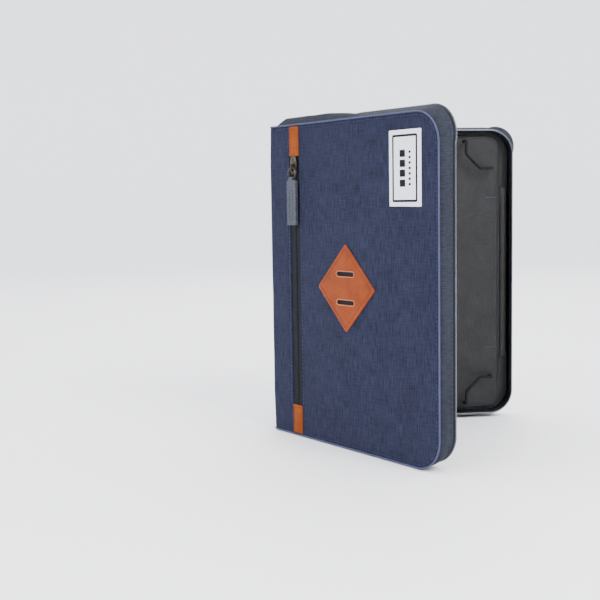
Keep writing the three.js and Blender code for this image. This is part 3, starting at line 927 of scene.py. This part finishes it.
def patch_depth(x, z, d):
    across, up = (x + z) / math.sqrt(2), (z - x) / math.sqrt(2)
    seam = 0.2 * math.exp(-((d - PATCH_SEAM) / 0.6) ** 2)
    dent = 0.3 * math.exp(-max(0.0, slot_distance(across, up)) / 1.5)
    return -1.75 + plump(d, 0.9, 0.5) + seam - 0.3 * smoothstep(3, 14, d) + dent + 0.08 * ripple(x, z, 8)


def slot_outline(z_sign, grow, step_angle=12):
    """Points of a slot's outline, in the cover's frame about the patch's middle."""
    radius = SLOT_RADIUS + grow
    reach = SLOT_HALF - SLOT_RADIUS
    points = []
    for turn in range(0, 360, step_angle):
        angle = math.radians(turn)
        points.append((math.copysign(reach, math.cos(angle)) + radius * math.cos(angle),
                       z_sign * SLOT_AT + radius * math.sin(angle)))
    return points


patch = sheet_piece("diamond_patch", TILTED, (-PATCH_SIDE, PATCH_SIDE, -PATCH_SIDE, PATCH_SIDE), (2.2, 2.2),
                    lambda x, z, d: depth_y(-1, patch_depth(x, z, d)), 1.6)
thicken(patch, 0.9, -1)
UPRIGHT = FRONT @ Matrix.Translation(patch_middle)
for z_sign in (-1, 1):
    outline = slot_outline(z_sign, 0.0)
    count = len(outline)
    points = [Vector((x, y, z)) for y in (-6, 2) for x, z in outline]
    faces = [(i, (i + 1) % count, count + (i + 1) % count, count + i) for i in range(count)]
    faces += [tuple(reversed(range(count))), tuple(range(count, 2 * count))]
    cutter = settle(new_object("cutter", points, faces, [(0, 0)] * (2 * count), UPRIGHT))
    cut = patch.modifiers.new("slot", "BOOLEAN")
    cut.object = cutter
    cut.operation = "DIFFERENCE"
    cut.solver = "EXACT"
    settle(patch, 35)
    bpy.data.objects.remove(cutter)

    # the slots' rims in TAN_EDGE: lighter leather edge with a painted highlight on the raised rims
    route = on_front(slot_outline(z_sign, 0.25, 8), lambda x, z: patch_depth(
        (x - z) / math.sqrt(2), (x + z) / math.sqrt(2), 20) - 0.05)
    lip = sweep(f"slot_edge_{'low' if z_sign < 0 else 'high'}", route, UPRIGHT, circle(0.42, 8), closed=True,
                normals=[MINUS_Y] * len(route))
    finish_piece(settle(lip, 60), TAN_EDGE, "front_cover")
rider(patch, TAN, "leather_patch")

inset = PATCH_SIDE - PATCH_SEAM
route = on_front(along_corners(box_corners(-inset, inset, -inset, inset), inset / 15),
                 lambda x, z: patch_depth(x, z, PATCH_SEAM) - 0.1)
sew("patch_stitches", [route], TAN_THREAD, "front_cover", TILTED, gap=1.2, radius=0.24)

backing = flat_piece("patch_backing_cloth", (-17, 17, -17, 17), (2, 2),
                     lambda x, z, d: -0.8 + 0.03 * ripple(x, z, 6), 0.25, step=3, space=TILTED)
rider(backing, INK, "patch_backing")

# ---- the woven label, with a plain frame, four squares and a row of dots ----
LABEL_BOX = local_box("woven_label", FRONT)
label_middle = middle_of(LABEL_BOX)
LABEL_Y = depth_y(-1, -0.82)


def label_depth(x, z, d):
    return -0.8 + 0.35 * (1 - smoothstep(0, 1.0, d)) + 0.05 * ripple(x, z, 9)


label = flat_piece("label_cloth", area_of(LABEL_BOX), (0.8, 0.8), label_depth, 0.35, -1, step=2.5)
rider(label, LABEL, "woven_label")


def satin_rows(name, rows, material, radius):
    """Embroidered bars: each (x0, x1, z, height) about the label's middle is a row of upright stitches."""
    places = []
    for x0, x1, z, tall in rows:
        for x in spaced(x0, x1, max(1, round((x1 - x0) / (radius * 1.5)))):
            middle = label_middle + Vector((x, LABEL_Y, z))
            half = Vector((0, 0, tall / 2))
            places.append((middle - half, middle + half, MINUS_Y, 0.05))
    finish_piece(capsules(name, places, FRONT, radius, 5), material, "front_cover")


def label_frame(name, reach, rise, radius):
    """A raised rectangular line round the label's field."""
    outline = loop_outline(-reach, reach, -rise, rise, 0.5, 3, 3)
    route = [label_middle + Vector((x, LABEL_Y, z)) for x, z in outline]
    line = sweep(name, route, FRONT, circle(radius, 8, 0.35), closed=True, normals=[MINUS_Y] * len(route))
    finish_piece(settle(line, 60), INK, "front_cover")


label_frame("label_frame", 12.9, 24.4, 0.9)
SQUARE, DOT = 2.77, 0.925
marks = [(-2.4, z, SQUARE) for z in (-11.1, -3.7, 3.7, 11.1)] + [(5.6, z, DOT) for z in range(-12, 13, 4)]
satin_rows("label_marks", [(x - half, x + half, z, 2 * half) for x, z, half in marks], INK, 0.25)
route = on_front(box_corners(*area_of(LABEL_BOX, -1, -1)), lambda x, z: label_depth(x, z, 1) - 0.06)
sew("label_stitches", [route], LABEL, "front_cover", length=1.6, gap=0.9, radius=0.16)

# ---- inside the front cover: slip pocket and landing strip ----
SLIP_BOX = slip_low, slip_high = local_box("slip_pocket", FRONT)


def slip_depth(x, z, d):
    mouth = smoothstep(slip_high.x - 26, slip_high.x, x)
    mouth *= smoothstep(0, 70, min(z - slip_low.z, slip_high.z - z))
    return (5.35 + 0.5 * smoothstep(0, 4, d) + 1.5 * mouth
            + 0.3 * ripple(x * 0.5, z, 24, 3) * smoothstep(2, 16, d))


slip = sheet_piece("slip_pocket_leather", FRONT, area_of(SLIP_BOX), (12, 12),
                   lambda x, z, d: depth_y(-1, slip_depth(x, z, d)), 5)
TO_FRONT = FRONT.inverted()


def slip_sewn(point):
    """The pocket is sewn down at the spine side, top and bottom, and open at the zip side."""
    place = TO_FRONT @ point
    edge = min(place.x - slip_low.x, place.z - slip_low.z, slip_high.z - place.z)
    return 1.0 if edge < 4 or place.x > slip_high.x - 5 else 0.0


settle_as_cloth(slip, slip_sewn, cap=2.2, pressure=0.6, gravity=1.0, slack=0.004)
thicken(slip, 0.5, 0)
rider(slip, BLACK_LEATHER, "slip_pocket")
HEM = 3.4
route = on_front([(slip_high.x - HEM, z) for z in spaced(slip_low.z + 8, slip_high.z - 8, 60)],
                 lambda x, z: slip_depth(x, z, HEM) + 0.28)
sew("slip_pocket_stitches", [route], GREY_THREAD, "front_cover", out=-MINUS_Y,
    length=2.4, gap=1.2)

strip = flat_piece("landing_strip_pile", area_of(local_box("landing_strip", FRONT)), (2, 2),
                   lambda x, z, d: 5.75 - 0.35 * (1 - smoothstep(0, 1.5, d)) + 0.1 * ripple(x, z, 3),
                   0.6, 1, step=2)
rider(strip, LOOP_PILE, "landing_strip")

# ---- the tablet panel ----
bind_low, bind_high = local_box("panel_binding", BACK)
FACE_Y, REAR_Y = bind_low.y, bind_high.y
PANEL_AREA = area_of(local_box("panel_face", BACK), 1, 1)
PANEL_CORNERS = (8.7, 8.7)


def panel_front(x, z, d):
    dent = 0.3 * math.exp(-((d - 2.4) / 0.7) ** 2)
    return FACE_Y + 0.1 + 0.4 * (1 - smoothstep(0, 2, d)) + dent + 0.1 * ripple(x, z, 22)


face = thicken(sheet_piece("panel_leather", BACK, PANEL_AREA, PANEL_CORNERS, panel_front), 0.5, 0)
rider(face, BLACK_LEATHER, "panel_face")
rear = thicken(sheet_piece("panel_back_cloth", BACK, PANEL_AREA, PANEL_CORNERS,
                           lambda x, z, d: REAR_Y - 0.25 + 0.1 * ripple(x, z, 26, 4), 6), 0.4, 0)
rider(rear, SATIN, "panel_back")

middle_y, half_y = (FACE_Y + REAR_Y) / 2, (REAR_Y - FACE_Y) / 2
outline = loop_outline(bind_low.x + 1.2, bind_high.x - 1.2, bind_low.z + 1.2, bind_high.z - 1.2, 8.8)
binding = sweep("panel_edge_binding", [Vector((x, middle_y, z)) for x, z in outline], BACK,
                blunt_oval(1.2, half_y, 0.7, 0.7), closed=True, normals=[MINUS_Y] * len(outline))
rider(settle(binding, 50), BLACK_LEATHER, "panel_binding")

flap_low, flap_high = local_box("hinge_flap", BACK)
outline = loop_outline(bind_low.x + 3.6, bind_high.x - 3.6, bind_low.z + 3.6, bind_high.z - 3.6, 6.4)
route = [Vector((x, FACE_Y - 0.05, z)) for x, z in outline + outline[:1]]
sew("panel_stitches", [route], GREY_THREAD, "tablet_panel", BACK, radius=0.2)
routes = [[Vector((x, FACE_Y - 0.1, z)) for x in (bind_high.x - 12.5, bind_high.x - 0.8)]
          for z in (flap_low.z + 9, flap_high.z - 9)]
sew("flap_end_stitches", routes, PALE_THREAD, "tablet_panel", BACK, length=1.6, gap=0.7)

hook_box = local_box("hook_tab", BACK)
hooks = sheet_piece("hook_tab_cloth", BACK, area_of(hook_box), (1.5, 1.5),
                    lambda x, z, d: hook_box[1].y - 0.15 - 0.1 * (1 - smoothstep(0, 1, d)), 2)
thicken(hooks, 0.4, 0)
rider(hooks, HOOKS, "hook_tab")


# ---- elastic loops over the tablet's corners ----
def smooth_route(points, steps, tension=0.12):
    """A curve through points, with short tangents so that it stays taut."""
    route = []
    for i in range(len(points) - 1):
        p0 = points[max(i - 1, 0)]
        p1, p2 = points[i], points[i + 1]
        p3 = points[min(i + 2, len(points) - 1)]
        m1, m2 = (p2 - p0) * tension, (p3 - p1) * tension
        count = max(3, round((p2 - p1).length / steps))
        for k in range(count):
            t = k / count
            route.append(p1 * (2 * t ** 3 - 3 * t ** 2 + 1) + m1 * (t ** 3 - 2 * t ** 2 + t)
                         + p2 * (3 * t ** 2 - 2 * t ** 3) + m2 * (t ** 3 - t ** 2))
    return route + [points[-1]]


TABLET = {"left": 18.0, "right": 187.5, "low": 15.0, "high": 255.0, "thick": 7.5}
CORD_RADIUS, REACH, LEG = 1.4, 23.0, 10.0
for node, sx, sz in (("loop_top_right", 1, 1), ("loop_top_left", -1, 1), ("loop_bottom_right", 1, -1),
                     ("loop_bottom_left", -1, -1)):
    corner_x = TABLET["right"] if sx > 0 else TABLET["left"]
    corner_z = TABLET["high"] if sz > 0 else TABLET["low"]
    out = CORD_RADIUS + 0.3
    root, over, bend = FACE_Y + 0.3, FACE_Y - TABLET["thick"] - out, 1.2
    knots = [(-REACH, root, out), (-REACH, over + bend, out), (-REACH, over, out - bend),
             (-REACH, over, -LEG), (-LEG, over, -REACH),
             (out - bend, over, -REACH), (out, over + bend, -REACH), (out, root, -REACH)]
    route = smooth_route([Vector((corner_x + sx * x, y, corner_z + sz * z)) for x, y, z in knots], 0.9)
    rows, uvs = [], []
    length = 0.0
    normal = Vector((0, 0, 1))
    for i, place in enumerate(route):
        along = (route[min(i + 1, len(route) - 1)] - route[max(i - 1, 0)]).normalized()
        normal = (normal - along * normal.dot(along)).normalized()
        across = along.cross(normal)
        length += (place - route[i - 1]).length if i else 0.0
        rows.append([place + (across * a + normal * b) * (1 + 0.035 * (-1) ** (i + k))
                     for k, (a, b) in enumerate(circle(CORD_RADIUS - 0.05, 12))])
        uvs.append([(length, k * 0.73) for k in range(12)])
    cord = lattice(f"{node}_cord", rows, uvs, BACK, loop_columns=True)
    cap_ends(cord, 12)
    rider(settle(cord, 60), ELASTIC, node)

# ---- the hinge flap: a stuffed leather strip with a thin web on either side ----
flap_rows, flap_uvs = [], []
count = 66
for i in range(count + 1):
    share = i / count
    z = flap_low.z + (flap_high.z - flap_low.z) * share
    tip = min(1.0, min(share, 1 - share) * 12 + 0.45)
    pinch = 1 - 0.05 * abs(ripple(0, z, 7)) - 0.03 * ripple(3, z, 3)
    wide = (flap_high.x - flap_low.x) / 2 * (0.9 + 0.1 * tip)
    tall = (flap_high.y - flap_low.y) / 2 * tip * pinch
    centre = Vector(((flap_low.x + flap_high.x) / 2, (flap_low.y + flap_high.y) / 2, z))
    flap_rows.append([centre + Vector((a, b, 0)) for a, b in blunt_oval(wide, tall, 0.8)])
    flap_uvs.append([(z, 1.4 * k) for k in range(16)])
flap = lattice("hinge_flap_padded", flap_rows, flap_uvs, BACK, loop_columns=True)
cap_ends(flap, 16)
TO_BACK = BACK.inverted()


def flap_sewn(point):
    """The padding is held at its two long seams, at its ends and at a few cross seams."""
    place = TO_BACK @ point
    seam = min(place.x - flap_low.x, flap_high.x - place.x)
    end = min(place.z - flap_low.z, flap_high.z - place.z)
    return 1.0 if seam < 0.9 or end < 3 or (place.z - flap_low.z) % 31.6 < 2.5 else 0.0


settle_as_cloth(flap, flap_sewn, cap=0.45, pressure=4.0, gravity=0.0)
rider(settle(flap, 60), BLACK_LEATHER, "hinge_flap")


def web(name, start, end, low, high):
    """A thin strip laid straight across one of the flap's two folds, with a slight sag. start and end are (x,
    y).
    """
    rows, uvs = [], []
    for z in spaced(low, high, 40):
        row, uv = [], []
        for t in spaced(0, 1, 8):
            sag = 0.25 * math.sin(math.pi * t) * ripple(t * 3, z, 8, 9)
            row.append(Vector((start[0] + (end[0] - start[0]) * t,
                               start[1] + (end[1] - start[1]) * t + sag, z)))
            uv.append((t * 4, z))
        rows.append(row)
        uvs.append(uv)
    piece = thicken(lattice(name, rows, uvs, BACK), 0.6, 0)
    piece.data.materials.append(BLACK_LEATHER)
    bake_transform(piece)
    return piece


web("flap_web_panel", (flap_low.x + 1.2, middle_y), (bind_high.x - 0.6, middle_y),
    flap_low.z + 2, flap_high.z - 2)
anchor_low, anchor_high = anchor_box = local_box("flap_anchor", BACK)
web("flap_web_cover", (anchor_high.x - 0.2, anchor_low.y + 0.1), (flap_high.x - 1.2, middle_y),
    flap_low.z + 2, flap_high.z - 2)
anchor = sheet_piece("flap_anchor_leather", BACK, area_of(anchor_box), (1, 1),
                     lambda x, z, d: anchor_low.y + 0.25 + 0.1 * (1 - smoothstep(0, 1, d)), 3)
thicken(anchor, 0.4, 0)
rider(anchor, BLACK_LEATHER, "flap_anchor")

# ---- sliders, rings and folded pullers ----
PIVOT_Y, PIVOT_Z, RING_RADIUS = -2.9, -2.0, 5.0
FULL_WIDTH, PULL_LENGTH = 12.5, 36.0
pocket_box = local_box("pocket_slider", FRONT)
main_box = local_box("main_slider", BACK)
POCKET_PULL = FRONT @ Matrix.Translation((ZIP_X, depth_y(-1, -0.2), (pocket_box[0].z + pocket_box[1].z) / 2))
MAIN_PULL = (BACK @ Matrix.Translation(((main_box[0].x + main_box[1].x) / 2, -15.7, 267.3))
             @ Matrix(((0, 0, -1, 0), (1, 0, 0, 0), (0, -1, 0, 0), (0, 0, 0, 1))))


def puller(name, space):
    wire = PIVOT_Z - 2 * RING_RADIUS
    top = wire - 3.1
    bottom = top - PULL_LENGTH
    lift = 0.8
    section = [(PIVOT_Y - lift, z) for z in spaced(bottom, top, 20)]
    section += [(PIVOT_Y - lift, top + 1.2)]
    for i in range(9):
        angle = math.pi * i / 8
        section.append((PIVOT_Y - 1.65 * math.cos(angle), wire + 1.65 * math.sin(angle)))
    section += [(PIVOT_Y + lift, top + 1.2)]
    section += [(PIVOT_Y + lift, z) for z in spaced(top, bottom, 20)]
    rows, uvs = [], []
    length = 0.0
    for i, (y, z) in enumerate(section):
        if i:
            length += math.hypot(y - section[i - 1][0], z - section[i - 1][1])
        half = FULL_WIDTH / 2 - (FULL_WIDTH / 2 - 2.4) * smoothstep(wire - 1.6, wire - 0.2, z)
        half *= 1 - 0.04 * (1 - smoothstep(bottom, bottom + 2, z))
        row, uv = [], []
        for k in range(9):
            x = -half + half * k / 4
            puff = 0.12 * math.cos(math.pi * k / 8 - math.pi / 2) * (1 if y < PIVOT_Y else -1)
            swell = puff * smoothstep(bottom, bottom + 3, z)
            row.append(Vector((x, y - swell + 0.1 * ripple(x, z, 9, 2), z)))
            uv.append((x, length))
        rows.append(row)
        uvs.append(uv)
    strip = thicken(lattice(f"{name}_puller_webbing", rows, uvs, space), 0.7, 0)
    rider(strip, WEBBING, f"{name}_puller")
    places = []
    for y, out in ((PIVOT_Y - lift - 0.42, -1), (PIVOT_Y + lift + 0.42, 1)):
        route = [Vector((x, y, z)) for x, z in box_corners(-2.1, 2.1, bottom + 5, top - 6)]
        places += stitch_row(route, Vector((0, out, 0)), 1.8, 0.7)
    threads = capsules(f"{name}_puller_stitches", places, space, 0.2, 5)
    finish_piece(threads, INK, BODY[f"{name}_puller"])


for name, space in (("pocket", POCKET_PULL), ("main", MAIN_PULL)):
    slider, ring = frame["nodes"][f"{name}_slider"], frame["nodes"][f"{name}_ring"]
    bevel = slider.modifiers.new("rounded", "BEVEL")
    bevel.width = 0.35 * MM
    bevel.segments = 3
    bevel.limit_method = "ANGLE"
    bevel.angle_limit = math.radians(35)
    round_off = ring.modifiers.new("round", "SUBSURF")
    round_off.levels = round_off.render_levels = 2
    finish_piece(slider, METAL, None)
    finish_piece(ring, METAL, None)
    puller(name, space)

for name in ("back_board", "front_board", "spine_board", "panel_board"):
    finish_piece(frame["nodes"][name], PULP, None)


# ---- floor, light and camera ----
def stage_floor():
    """A pale floor that curves up all round into a backdrop."""
    flat, bend, wall = 2.4, 1.3, 3.2
    section = [(flat * i / 6, 0.0) for i in range(7)]
    for i in range(1, 13):
        angle = math.pi / 2 * i / 12
        section.append((flat + bend * math.sin(angle), bend - bend * math.cos(angle)))
    section.append((flat + bend, wall))
    turns = 96
    points = [(r * math.cos(2 * math.pi * k / turns), r * math.sin(2 * math.pi * k / turns), z - 0.0005)
              for r, z in section for k in range(turns)]
    faces = [(i * turns + k, i * turns + (k + 1) % turns, (i + 1) * turns + (k + 1) % turns,
              (i + 1) * turns + k) for i in range(len(section) - 1) for k in range(turns)]
    mesh = bpy.data.meshes.new("floor")
    mesh.from_pydata(points, [], faces)
    mesh.shade_smooth()
    floor = bpy.data.objects.new("floor", mesh)
    bpy.context.scene.collection.objects.link(floor)
    material = bpy.data.materials.new("floor")
    material.use_nodes = True
    shader = material.node_tree.nodes["Principled BSDF"]
    shader.inputs["Base Color"].default_value = (0.88, 0.88, 0.885, 1)
    shader.inputs["Roughness"].default_value = 0.65
    mesh.materials.append(material)


def area_light(name, size, energy, place, aim):
    data = bpy.data.lights.new(name, "AREA")
    data.size = size
    data.energy = energy
    lamp = bpy.data.objects.new(name, data)
    lamp.location = place
    lamp.rotation_euler = (Vector(aim) - Vector(place)).to_track_quat("-Z", "Y").to_euler()
    bpy.context.scene.collection.objects.link(lamp)


stage_floor()
middle = (0.0, -0.09, 0.135)
area_light("key", 0.8, 46, (0.75, -1.35, 1.35), middle)
area_light("fill", 1.4, 16, (-1.4, -0.9, 0.9), middle)
area_light("rear", 1.2, 18, (0.2, 1.4, 1.4), middle)
world = bpy.data.worlds.new("studio")
world.use_nodes = True
world.node_tree.nodes["Background"].inputs[0].default_value = (0.93, 0.95, 1.0, 1)
world.node_tree.nodes["Background"].inputs[1].default_value = 2.9
bpy.context.scene.world = world

AZIMUTH, ELEVATION, ROLL = (math.radians(angle) for angle in (-6.77, 5.45, -0.92))
DISTANCE = 0.881
TARGET = Vector((-0.1040, -0.080, 0.1210))
back_along = Vector((math.sin(AZIMUTH) * math.cos(ELEVATION), -math.cos(AZIMUTH) * math.cos(ELEVATION),
                     math.sin(ELEVATION)))
camera_data = bpy.data.cameras.new("camera")
camera_data.lens = 62.4
camera = bpy.data.objects.new("camera", camera_data)
camera.location = TARGET + back_along * DISTANCE
camera.rotation_euler = (back_along.to_track_quat("Z", "Y").to_matrix()
                         @ Matrix.Rotation(ROLL, 3, "Z")).to_euler()
bpy.context.scene.collection.objects.link(camera)
bpy.context.scene.camera = camera
